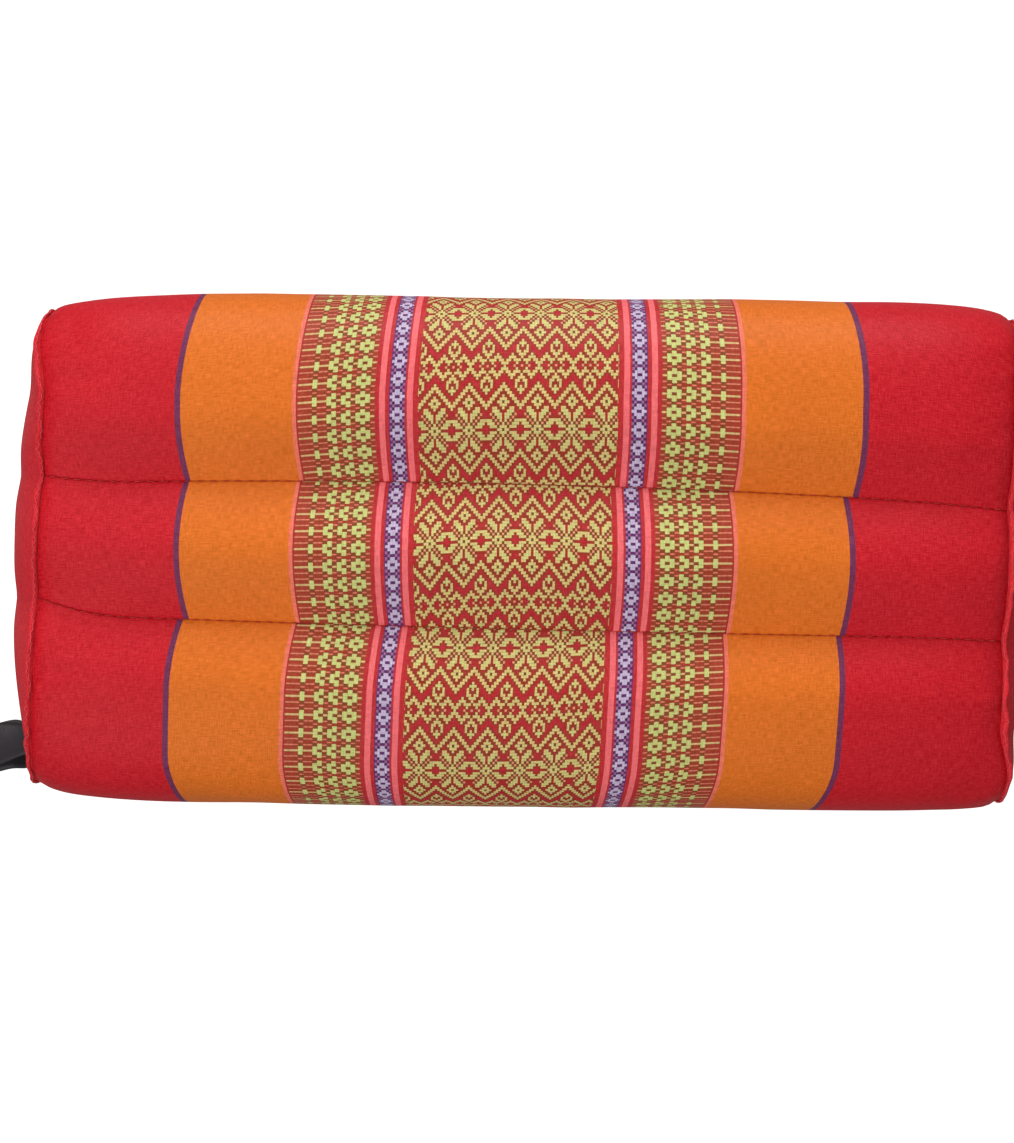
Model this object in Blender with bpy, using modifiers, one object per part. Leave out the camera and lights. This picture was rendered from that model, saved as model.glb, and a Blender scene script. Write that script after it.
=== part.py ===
"""Stuffed block cushion: a wrapped cover over three channels of filling, sewn shut by two end panels.

X runs along the cushion, Y across its patterned face and Z up. The origin is under the middle of
the block, on the surface that it lies on. Every size is in metres.

The block and its panels share one shape. A unit box is cut into a coarse cage, every point of the
cage is a share (along, across, up) from -1 to 1, and place() turns that share into a point of the
stuffed form. Subdivision then rounds the cage.
"""
import math

import bmesh
import bpy
from mathutils import Vector

# The stuffed block
LENGTH = 0.331  # between the two end seams
WIDTH = 0.177  # across at half height, halfway along
HEIGHT = 0.120  # from the surface below to the crown of the middle channel
FLOOR_PRESS = 0.0035  # how far its own weight flattens the underside
SECTION_POWER = 4.3  # squareness of the rounded section: 2 is an ellipse
DRAW_IN_SIDE = 0.0038  # how far each side has come in at the end seams
DRAW_IN_TOP = 0.0065  # how far the top comes down, and the underside up, at the end seams
DRAW_IN_POWER = 8.0  # how suddenly it does so
END_LEAN = 0.032  # slope of the two ends, which are not quite square to the length
END_SHIFT = -0.0014  # how far the +X end sits across from the rest

# The two stitched lines that part the channels, above and below
BACK_LINE = 0.0212  # mean distance of the line at the back
FRONT_LINE = -0.0256
BACK_LINE_BOW = 0.0018  # how far the back line lies further back in the middle, and nearer at the ends
FRONT_LINE_BOW = 0.0006  # the same of the front line, towards the front
LINE_DRIFT = -0.0022  # how far both lines wander across from the middle to the +X end
BACK_HOOK = 0.0026  # how far the back line bends back where it meets the -X end seam
FRONT_HOOK = 0.0054
HOOK_FROM = 0.80  # share of the half length at which that bend begins
STITCH_DEPTH = 0.0084  # of the lines below the crowns, halfway along
END_STITCH_DEPTH = 0.0046  # the same at the end seams
STITCH_FULLNESS = 0.6  # how straight the cloth runs down to a line: 0 is the sharpest groove

# The end panels
PANEL_THICKNESS = 0.0020
PANEL_BULGE = 0.0120  # from the end seam out to the crown of the panel
PANEL_POWER = 3.0  # fullness of that crown
LIP = 0.0027  # the seam's turned-out edge
BODY_SET_BACK = 0.0031  # from the panel's seam in to the end of the block
BODY_BULGE = PANEL_BULGE + 0.0003  # leaves 0.3 mm or more under the panel

# The folded ribbon that is sewn into the low front corner of the -X end
RIBBON_WIDTH = 0.0180
RIBBON_THICKNESS = 0.0010
RIBBON_ROOT = Vector((-0.1703, -0.0725, 0.0))
RIBBON_FOLD = (
    # station, out from the seam, towards the front, height of the back edge, of the front edge
    ("upper root", 0.0000, 0.0000, 0.0078, 0.0178),
    ("upper bend", 0.0085, -0.0005, 0.0046, 0.0172),
    ("upper middle", 0.0180, 0.0010, 0.0042, 0.0128),
    ("upper end", 0.0300, 0.0030, 0.0046, 0.0078),
    ("fold top", 0.0345, 0.0038, 0.0046, 0.0054),
    ("fold", 0.0362, 0.0042, 0.0030, 0.0032),
    ("fold low", 0.0345, 0.0044, 0.0014, 0.0014),
    ("lower end", 0.0290, 0.0040, 0.0009, 0.0009),
    ("lower middle", 0.0150, 0.0000, 0.0009, 0.0028),
    ("lower bend", 0.0080, -0.0010, 0.0012, 0.0068),
    ("lower root", 0.0006, 0.0005, 0.0052, 0.0146),
)

# Cuts of the cage, as shares
LINE_SHARE = 0.30  # where a stitched line lies across the unit box
LENGTH_CUTS = (0.0, 0.30, 0.56, 0.76, 0.90, 0.97)
MIDDLE_CUTS = (0.0, 0.28, 0.54, 0.82)  # of the half middle channel
SIDE_CUTS = (0.10, 0.30, 0.49, 0.68, 0.88)  # from a stitched line to the rounded corner
HEIGHT_CUTS = (0.22, 0.80)

CORNER = 2.0 ** (-1.0 / SECTION_POWER)  # where the section's top turns into its side
RIM_SHARPNESS = 0.7  # of the block's own rim; 1 is a sharp edge

RED_CLOTH = (0.565, 0.021, 0.030, 1.0)
RED_END_CLOTH = (0.500, 0.018, 0.026, 1.0)
BLACK_RIBBON = (0.020, 0.019, 0.022, 1.0)


def mirrored(shares):
    """The shares on both sides of the middle, in order."""
    return sorted({-share for share in shares} | set(shares))


def cross_cuts():
    """Shares across the box: the channels' cuts, with both stitched lines among them."""
    middle = [LINE_SHARE * share for share in MIDDLE_CUTS]
    outer = [LINE_SHARE + (1.0 - LINE_SHARE) * share for share in SIDE_CUTS]
    return mirrored([*middle, LINE_SHARE, *outer])


def rounded(share):
    """Height of the unit rounded square at a share of its half width."""
    return max(0.0, 1.0 - abs(share) ** SECTION_POWER) ** (1.0 / SECTION_POWER)


def half_sizes(along):
    """Half width and half height of the block, before the floor presses it."""
    drawn = abs(along) ** DRAW_IN_POWER
    half_width = WIDTH / 2.0 - DRAW_IN_SIDE * drawn
    half_height = (HEIGHT + FLOOR_PRESS) / 2.0 - DRAW_IN_TOP * drawn
    return half_width, half_height


def stitched_lines(along):
    """Where the front and back lines lie across the cushion."""
    hook = max(0.0, (-along - HOOK_FROM) / (1.0 - HOOK_FROM)) ** 2
    bow = 1.0 - 2.0 * along * along
    front = FRONT_LINE + LINE_DRIFT * along - FRONT_LINE_BOW * bow + FRONT_HOOK * hook
    back = BACK_LINE + LINE_DRIFT * along + BACK_LINE_BOW * bow + BACK_HOOK * hook
    return front, back


def sideways(along):
    """How far the section at a share of the length sits across from the middle one."""
    return END_SHIFT * max(0.0, along) ** DRAW_IN_POWER


def across(along, share):
    """Distance across the top for a share across the box."""
    corner = half_sizes(along)[0] * CORNER
    front, back = stitched_lines(along)
    if share > LINE_SHARE:
        return back + (corner - back) * (share - LINE_SHARE) / (1.0 - LINE_SHARE)
    if share < -LINE_SHARE:
        return front + (corner + front) * (share + LINE_SHARE) / (1.0 - LINE_SHARE)
    return front + (back - front) * (share + LINE_SHARE) / (2.0 * LINE_SHARE)


def stitch_pull(along, y):
    """How far the stitching holds the cover down beside the nearest line."""
    front, back = stitched_lines(along)
    reach = (back - front) / 2.0
    distance = min(abs(y - front), abs(y - back))
    depth = STITCH_DEPTH + (END_STITCH_DEPTH - STITCH_DEPTH) * abs(along) ** DRAW_IN_POWER
    share = min(1.0, distance / reach)
    return depth * (1.0 - share) ** 2 * (1.0 + STITCH_FULLNESS * share)


def place(share, half_length, bulge):
    """Point of the stuffed form for a share (along, across, up) on the unit box."""
    along, cross, up = share
    half_width, half_height = half_sizes(along)
    middle = (HEIGHT - FLOOR_PRESS) / 2.0
    y = across(along, cross)
    rise = half_height * rounded(y / half_width) - stitch_pull(along, y)
    z = middle + rise * up
    y = y * rounded(up * CORNER) / CORNER + sideways(along)
    crown = 0.0
    if abs(along) > 1.0 - 1e-6:
        crown = bulge * (1.0 - abs(cross) ** PANEL_POWER) * (1.0 - abs(up) ** PANEL_POWER)
    x = along * half_length + math.copysign(crown, along) + END_LEAN * y
    return Vector((x, y, max(0.0, z)))


def unit_cage():
    """A two-unit cube, cut along every share of the cage."""
    cage = bmesh.new()
    bmesh.ops.create_cube(cage, size=2.0)
    cuts = (mirrored(LENGTH_CUTS), cross_cuts(), mirrored(HEIGHT_CUTS))
    for axis, shares in enumerate(cuts):
        normal = Vector((0.0, 0.0, 0.0))
        normal[axis] = 1.0
        for share in shares:
            parts = cage.verts[:] + cage.edges[:] + cage.faces[:]
            bmesh.ops.bisect_plane(cage, geom=parts, dist=1e-6, plane_co=normal * share, plane_no=normal)
    return cage


def on_line(vertex):
    """Whether a point of the unit cage lies on a stitched line."""
    return abs(abs(vertex.co.y) - LINE_SHARE) < 1e-4 and abs(vertex.co.z) > 1.0 - 1e-6


def on_rim(vertex):
    """Whether a point of the unit cage lies on the rim of either end."""
    outside = max(abs(vertex.co.y), abs(vertex.co.z))
    return abs(vertex.co.x) > 1.0 - 1e-6 and outside > 1.0 - 1e-6


def crease(cage, test, sharpness):
    """Keep every edge whose two points pass the test from being rounded away."""
    layer = cage.edges.layers.float.get("crease_edge")
    if layer is None:
        layer = cage.edges.layers.float.new("crease_edge")
    for edge in cage.edges:
        if all(test(vertex) for vertex in edge.verts):
            edge[layer] = sharpness


def add_part(cage, name, collection, material):
    """Turn a cage into a named object of the cushion."""
    mesh = bpy.data.meshes.new(name)
    cage.to_mesh(mesh)
    cage.free()
    mesh.materials.append(material)
    mesh.shade_smooth()
    part = bpy.data.objects.new(name, mesh)
    collection.objects.link(part)
    return part


def round_off(part):
    """One step of Subdivision Surface, the same in the viewport and in a render."""
    modifier = part.modifiers.new("Rounding", "SUBSURF")
    modifier.levels = 1
    modifier.render_levels = 1


def thicken(part, thickness, offset):
    """Give a sheet its thickness; an offset of -1 puts it all behind the sheet's face."""
    modifier = part.modifiers.new("Thickness", "SOLIDIFY")
    modifier.thickness = thickness
    modifier.offset = offset
    modifier.use_even_offset = True


def cloth(name, colour, roughness):
    """A plain woven finish."""
    material = bpy.data.materials.new(name)
    material.use_nodes = True
    shader = material.node_tree.nodes["Principled BSDF"]
    shader.inputs["Base Color"].default_value = colour
    shader.inputs["Roughness"].default_value = roughness
    shader.inputs["Metallic"].default_value = 0.0
    return material


def make_block(collection):
    """The filled block with its crowns, drawn-in ends and two stitched lines above and below."""
    cage = unit_cage()
    crease(cage, on_line, 1.0)
    crease(cage, on_rim, RIM_SHARPNESS)
    for vertex in cage.verts:
        vertex.co = place(vertex.co, LENGTH / 2.0 - BODY_SET_BACK, BODY_BULGE)
    part = add_part(cage, "body", collection, cloth("Striped cotton", RED_CLOTH, 0.85))
    round_off(part)


def seam_direction(point, side):
    """Direction in which the seam's edge turns out: half outwards from the section, half along X."""
    half_width, half_height = half_sizes(1.0)
    y_share = (point.y - sideways(side)) / half_width
    z_share = (point.z - (HEIGHT - FLOOR_PRESS) / 2.0) / half_height
    power = SECTION_POWER - 1.0
    outwards = Vector((
        0.0,
        math.copysign(abs(y_share) ** power / half_width, y_share),
        math.copysign(abs(z_share) ** power / half_height, z_share),
    ))
    return (outwards.normalized() + Vector((side, 0.0, 0.0))).normalized()


def make_end_panel(collection, name, side):
    """One end panel: a crowned sheet whose edge turns out along the seam."""
    cage = unit_cage()
    others = [face for face in cage.faces if face.calc_center_median().x * side < 1.0 - 1e-6]
    bmesh.ops.delete(cage, geom=others, context="FACES")
    crease(cage, on_rim, 1.0)
    for vertex in cage.verts:
        vertex.co = place(vertex.co, LENGTH / 2.0, PANEL_BULGE)
    rim = [edge for edge in cage.edges if edge.is_boundary]
    turned = bmesh.ops.extrude_edge_only(cage, edges=rim)["geom"]
    for vertex in [item for item in turned if isinstance(item, bmesh.types.BMVert)]:
        vertex.co += seam_direction(vertex.co, side) * LIP
    part = add_part(cage, name, collection, cloth(f"Red cotton {name}", RED_END_CLOTH, 0.85))
    round_off(part)
    thicken(part, PANEL_THICKNESS, -1.0)


def make_ribbon(collection):
    """The folded ribbon: one strip that runs out, turns under itself and comes back."""
    strip = bmesh.new()
    before = None
    for _, out, forward, back_height, front_height in RIBBON_FOLD:
        middle = RIBBON_ROOT - Vector((out, forward, 0.0))
        spread = math.sqrt(RIBBON_WIDTH ** 2 - (front_height - back_height) ** 2)
        back = strip.verts.new(middle + Vector((0.0, spread / 2.0, back_height)))
        front = strip.verts.new(middle + Vector((0.0, -spread / 2.0, front_height)))
        if before:
            strip.faces.new((*before, front, back))
        before = (back, front)
    bmesh.ops.recalc_face_normals(strip, faces=strip.faces[:])
    part = add_part(strip, "ribbon_tab", collection, cloth("Black ribbon", BLACK_RIBBON, 0.55))
    thicken(part, RIBBON_THICKNESS, 0.0)


def clear_scene():
    """Remove whatever the file opened with."""
    for old in list(bpy.data.objects):
        bpy.data.objects.remove(old, do_unlink=True)


def main():
    clear_scene()
    collection = bpy.data.collections.new("Block cushion")
    bpy.context.scene.collection.children.link(collection)
    make_block(collection)
    make_end_panel(collection, "end_panel_left", -1.0)
    make_end_panel(collection, "end_panel_right", 1.0)
    make_ribbon(collection)


main()
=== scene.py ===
"""Looks of the stuffed block cushion: figured cotton cover, red end panels, sewing and ribbon.

X runs along the cushion, Y across its patterned face and Z up, in metres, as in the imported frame.
The stuffed shape is worked out once, in CushionForm, and every piece of cloth and thread lies on it.
"""

import logging
import math
from dataclasses import dataclass
from enum import Enum
from typing import Callable, Sequence

import bmesh
import bpy
import numpy as np
from mathutils import Matrix, Vector, noise


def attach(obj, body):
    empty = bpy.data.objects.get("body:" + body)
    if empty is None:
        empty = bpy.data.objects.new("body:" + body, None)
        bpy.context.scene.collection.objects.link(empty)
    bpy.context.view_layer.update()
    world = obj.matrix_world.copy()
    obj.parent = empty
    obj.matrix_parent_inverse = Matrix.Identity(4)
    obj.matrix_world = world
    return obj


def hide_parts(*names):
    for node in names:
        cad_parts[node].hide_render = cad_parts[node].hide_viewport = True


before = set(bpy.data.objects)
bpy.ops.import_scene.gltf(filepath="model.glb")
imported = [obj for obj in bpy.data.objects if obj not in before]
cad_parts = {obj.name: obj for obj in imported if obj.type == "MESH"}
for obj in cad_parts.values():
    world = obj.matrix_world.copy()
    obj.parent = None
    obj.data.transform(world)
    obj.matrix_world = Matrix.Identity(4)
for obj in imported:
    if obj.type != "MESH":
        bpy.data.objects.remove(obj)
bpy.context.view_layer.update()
LOG = logging.getLogger("cushion")
MM = 0.001

CLOTH_MAP = "ClothMap"
BAKE_MAP = "OFBake"
# a share past which a point lies on a face of the unit box
ON_EDGE = 1.0 - 1e-6
# whole number that a chart's rows are fractions of, and the margin for reading one back
CODE_SIZE = 65536.0
CODE_MARGIN = 0.001

Colour = tuple[float, float, float, float]
ScreenColour = tuple[int, int, int]
Place = Callable[[float, float], Vector]
Socket = bpy.types.NodeSocket
Value = Socket | float
Tone = Socket | Colour

WHITE: Colour = (1.0, 1.0, 1.0, 1.0)


def colour(red: int, green: int, blue: int) -> Colour:
    """Linear colour for shader sockets.

    Args:
        red: Share of red as a screen value from 0 to 255.
        green: Share of green, likewise.
        blue: Share of blue, likewise.

    Returns:
        The colour with an alpha of 1.
    """
    shares = [value / 255.0 for value in (red, green, blue)]
    linear = [share / 12.92 if share <= 0.04045 else ((share + 0.055) / 1.055) ** 2.4 for share in shares]
    return linear[0], linear[1], linear[2], 1.0


def ripple(point: Vector, size: float, shift: Sequence[float] = (0.0, 0.0, 0.0)) -> float:
    """Smooth noise from -1 to 1 whose waves are about that size, in metres, and moved by a shift."""
    return noise.noise((point + Vector(shift)) / size)


def smooth_step(share: float) -> float:
    """A soft step from 0 to 1 as the share runs from 0 to 1."""
    share = min(1.0, max(0.0, share))
    return share * share * (3.0 - 2.0 * share)


def near(gap: float, reach: float) -> float:
    """1 at a line or an edge, falling evenly to 0 at a reach from it."""
    return max(0.0, 1.0 - gap / reach)


def clear_of(gap: float, reach: float) -> float:
    """0 at a line or an edge, rising evenly to 1 at a reach from it."""
    return min(1.0, gap / reach)


class End(Enum):
    """The cushion's two ends, by their sign along X."""

    LEFT = -1.0
    RIGHT = 1.0

    @property
    def word(self) -> str:
        """The end's name, as in the names of pieces and nodes."""
        return self.name.lower()


@dataclass(frozen=True)
class CushionForm:
    """Stuffed shape that the cover, the end panels and the sewing share.

    A share (along, cross, up) runs from -1 to 1 on a unit box. place() gives its point.
    """

    length: float = 0.331
    width: float = 0.177
    height: float = 0.120
    floor_press: float = 0.0035
    squareness: float = 4.3
    side_draw: float = 0.0038
    top_draw: float = 0.0065
    draw_power: float = 8.0
    right_draw_power: float = 13.0
    end_lean: float = 0.032
    end_pinch: float = 0.0008
    pinch_reach: float = 0.0075
    flare_power: float = 16.0
    flare_rise: float = 0.23
    tip_from: float = 0.88
    tip_reach: float = 0.12
    left_side_draw: float = 0.0016
    left_side_power: float = 24.0
    end_shift: float = -0.0014
    back_line: float = 0.0212
    front_line: float = -0.0256
    back_line_bow: float = 0.0018
    front_line_bow: float = 0.0006
    line_drift: float = -0.0022
    back_hook: float = 0.0026
    front_hook: float = 0.0054
    hook_from: float = 0.80
    stitch_depth: float = 0.0084
    end_stitch_depth: float = 0.0046
    stitch_fullness: float = 0.6
    bulge: float = 0.0120
    panel_power: float = 3.0
    line_share: float = 0.30
    crease_depth: float = 0.0003
    crease_reach: float = 0.0010
    hem_dip: float = 0.0016
    hem_reach: float = 0.0045
    rim_samples: int = 100

    CORNERS = {
        # signs along X and across: how far the corner runs out, from what share of the half width
        # on, and how far its tip turns back
        (-1.0, 1.0): (0.0030, 0.62, 0.0018),
        (-1.0, -1.0): (0.0, 0.62, 0.0),
        (1.0, 1.0): (0.0006, 0.66, 0.0),
        (1.0, -1.0): (0.0042, 0.68, 0.0010),
    }

    @property
    def corner(self) -> float:
        """Share of the half width at which the section's top turns into its side."""
        return 2.0 ** (-1.0 / self.squareness)

    @property
    def middle(self) -> float:
        """Height halfway up the block."""
        return (self.height - self.floor_press) / 2.0

    def rounded(self, share: float) -> float:
        """Height of the unit rounded square at a share of its half width."""
        return max(0.0, 1.0 - abs(share) ** self.squareness) ** (1.0 / self.squareness)

    def half_sizes(self, along: float) -> tuple[float, float]:
        """Half width and half height of the block at a share of its length.

        Args:
            along: Share of the half length, from -1 at the -X end to 1.

        Returns:
            The two sizes in metres, the ends' draw-in taken off.
        """
        drawn = abs(along) ** (self.draw_power if along < 0.0 else self.right_draw_power)
        half_width = self.width / 2.0 - self.side_draw * drawn
        half_width -= self.left_side_draw * max(0.0, -along) ** self.left_side_power
        half_height = (self.height + self.floor_press) / 2.0 - self.top_draw * drawn
        return half_width, half_height

    def lines(self, along: float) -> tuple[float, float]:
        """Where the front and back stitched lines lie across the cushion.

        Args:
            along: Share of the half length, from -1 at the -X end to 1.

        Returns:
            The two places across, in metres, without the section's own shift.
        """
        hook = max(0.0, (-along - self.hook_from) / (1.0 - self.hook_from)) ** 2
        bow = 1.0 - 2.0 * along * along
        wander = self.line_drift * along
        front = self.front_line + wander - self.front_line_bow * bow + self.front_hook * hook
        back = self.back_line + wander + self.back_line_bow * bow + self.back_hook * hook
        return front, back

    def sideways(self, along: float) -> float:
        """How far the section at a share of the length sits across from the middle one."""
        return self.end_shift * max(0.0, along) ** self.draw_power

    def across(self, along: float, cross: float) -> float:
        """Distance across the top for a share across the box.

        Args:
            along: Share of the half length, from -1 at the -X end to 1.
            cross: Share across the box, from -1 to 1.

        Returns:
            Metres from the middle, with the stitched lines at line_share on either side.
        """
        corner = self.half_sizes(along)[0] * self.corner
        front, back = self.lines(along)
        part = self.line_share
        if cross > part:
            return back + (corner - back) * (cross - part) / (1.0 - part)
        if cross < -part:
            return front + (corner + front) * (cross + part) / (1.0 - part)
        return front + (back - front) * (cross + part) / (2.0 * part)

    def line_distance(self, along: float, y: float) -> float:
        """Distance across from a place to the nearer stitched line, the ends' shift left out."""
        front, back = self.lines(along)
        return min(abs(y - front), abs(y - back))

    def pull(self, along: float, y: float) -> float:
        """How far the stitching holds the cover down, its narrow crease included.

        Args:
            along: Share of the half length, from -1 at the -X end to 1.
            y: Metres across from the middle.

        Returns:
            The depth below the unstitched form.
        """
        front, back = self.lines(along)
        distance = self.line_distance(along, y)
        fade = abs(along) ** self.draw_power
        depth = self.stitch_depth + (self.end_stitch_depth - self.stitch_depth) * fade
        away = min(1.0, 2.0 * distance / (back - front))
        wide = depth * (1.0 - away) ** 2 * (1.0 + self.stitch_fullness * away)
        return wide + self.crease_depth * near(distance, self.crease_reach) ** 2

    def drawn_out(self, along: float, y: float) -> float:
        """How far an end runs out along X at its corners, and in where a stitched line pulls at it.

        Args:
            along: Share of the half length, from -1 at the -X end to 1.
            y: Metres across from the middle.

        Returns:
            The distance along X, towards the end where it runs out.
        """
        at_line = math.exp(-((self.line_distance(along, y) / self.pinch_reach) ** 2))
        side = math.copysign(1.0, along)
        flare, start, tip = self.CORNERS[side, math.copysign(1.0, y)]
        share = abs(y) / self.half_sizes(along)[0]
        corner = flare * smooth_step((share - start) / self.flare_rise)
        corner -= tip * smooth_step((share - self.tip_from) / self.tip_reach)
        return side * abs(along) ** self.flare_power * (corner - self.end_pinch * at_line)

    def hem(self, along: float) -> float:
        """Extra draw-in of the cover in the last few millimetres before an end seam."""
        away = (1.0 - abs(along)) * self.length / 2.0
        return self.hem_dip * near(away, self.hem_reach) ** 2

    def swell(self, cross: float, up: float) -> float:
        """Share of the end's bulge at a point of the end."""
        return (1.0 - abs(cross) ** self.panel_power) * (1.0 - abs(up) ** self.panel_power)

    def place(self, along: float, cross: float, up: float, set_back: float = 0.0) -> Vector:
        """Point of the stuffed form.

        Args:
            along: Share of the half length, from the -X end seam to the +X one.
            cross: Share across, with the stitched lines at line_share on either side.
            up: Share from the underside to the top.
            set_back: How far the ends lie inside the end seams.

        Returns:
            The point, no lower than the surface below.
        """
        half_width, half_height = self.half_sizes(along)
        y = self.across(along, cross)
        rise = half_height * self.rounded(y / half_width) - self.pull(along, y) - self.hem(along)
        z = self.middle + rise * up
        line = math.copysign(self.line_share, cross)
        if abs(cross) > self.line_share:
            inner = self.across(along, line)
            outer = math.copysign(half_width * self.corner, cross)
            wall = outer * self.rounded(up * self.corner) / self.corner
            wall -= math.copysign(self.hem(along) * (1.0 - up * up), cross)
            y = inner + (y - inner) * (wall - inner) / (outer - inner)
        y += self.sideways(along)
        crown = self.bulge * self.swell(cross, up) if abs(along) > ON_EDGE else 0.0
        half_length = self.length / 2.0 - set_back
        x = along * half_length + math.copysign(crown, along) + self.end_lean * y + self.drawn_out(along, y)
        return Vector((x, y, max(0.0, z)))

    def outwards(self, point: Vector) -> Vector:
        """Direction straight out of the section at a point of an end's rim.

        Args:
            point: A point of the rim.

        Returns:
            The direction, of length 1.
        """
        side = math.copysign(1.0, point.x)
        half_width, half_height = self.half_sizes(side)
        y_share = (point.y - self.sideways(side)) / half_width
        z_share = (point.z - self.middle) / half_height
        power = self.squareness - 1.0
        return Vector((
            0.0,
            math.copysign(abs(y_share) ** power / half_width, y_share),
            math.copysign(abs(z_share) ** power / half_height, z_share),
        )).normalized()

    def rim(self, side: float, spacing: float) -> list[Vector]:
        """Even points once round an end seam.

        Args:
            side: -1 for the -X end, 1 for the +X end.
            spacing: Distance from point to point.

        Returns:
            The points, from the top's front corner on, the first one not repeated.
        """
        fine = [index / self.rim_samples * 2.0 - 1.0 for index in range(self.rim_samples)]
        shares = [(share, 1.0) for share in fine] + [(1.0, -share) for share in fine]
        shares += [(-share, -1.0) for share in fine] + [(-1.0, share) for share in fine]
        walk = np.array([self.place(side, cross, up) for cross, up in shares + shares[:1]])
        steps = np.linalg.norm(np.diff(walk, axis=0), axis=1)
        lengths = np.concatenate(([0.0], np.cumsum(steps)))
        count = round(lengths[-1] / spacing)
        wanted = np.arange(count) / count * lengths[-1]
        return [Vector([float(np.interp(at, lengths, walk[:, axis])) for axis in range(3)]) for at in wanted]


FORM = CushionForm()


class Girth:
    """Distance along the cloth, round the block, from the top's centre line."""

    SAMPLES = 240
    BACK_TAKE_UP = 0.0032
    FRONT_TAKE_UP = 0.00415

    def __init__(self, form: CushionForm) -> None:
        """Measure the section of the form halfway along.

        Args:
            form: The stuffed form.
        """
        self.form = form
        shares = np.linspace(-1.0, 1.0, 2 * self.SAMPLES + 1)
        top = [form.place(0.0, share, 1.0) for share in shares]
        self.places = np.array([point.y for point in top])
        self.top = self._lengths(top)
        self.top -= np.interp(0.0, self.places, self.top)
        self.wall = self._lengths([form.place(0.0, 1.0, share) for share in shares[::-1]])
        self.heights = shares

    @staticmethod
    def _lengths(points: Sequence[Vector]) -> np.ndarray:
        """Running length of a line of points."""
        steps = [0.0] + [(b - a).length for a, b in zip(points, points[1:])]
        return np.cumsum(steps)

    def _over_top(self, along: float, cross: float) -> float:
        """Distance along the cloth to a point of the top, with what each stitched line has taken up.

        Args:
            along: Share of the half length, from -1 at the -X end to 1.
            cross: Share across the box.

        Returns:
            The distance in metres, above zero towards the back.
        """
        y = self.form.across(along, cross)
        hidden = 0.0
        if abs(cross) > self.form.line_share + 1e-9:
            hidden = self.BACK_TAKE_UP if cross > 0.0 else -self.FRONT_TAKE_UP
        return float(np.interp(y, self.places, self.top)) + hidden

    def at(self, along: float, cross: float, up: float) -> float:
        """Distance along the cloth for a share of the block.

        Args:
            along: Share of the half length.
            cross: Share across the box.
            up: Share up the box; the cover's top is at 1 and its underside at -1.

        Returns:
            The distance in metres, above zero towards the back.
        """
        top = self._over_top(along, cross)
        if up > ON_EDGE:
            return top
        side = math.copysign(1.0, cross)
        edge = self._over_top(along, side)
        down = float(np.interp(-up, self.heights, self.wall))
        if abs(cross) > ON_EDGE:
            return edge + side * down
        return edge + side * (down + abs(edge - top))


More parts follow.
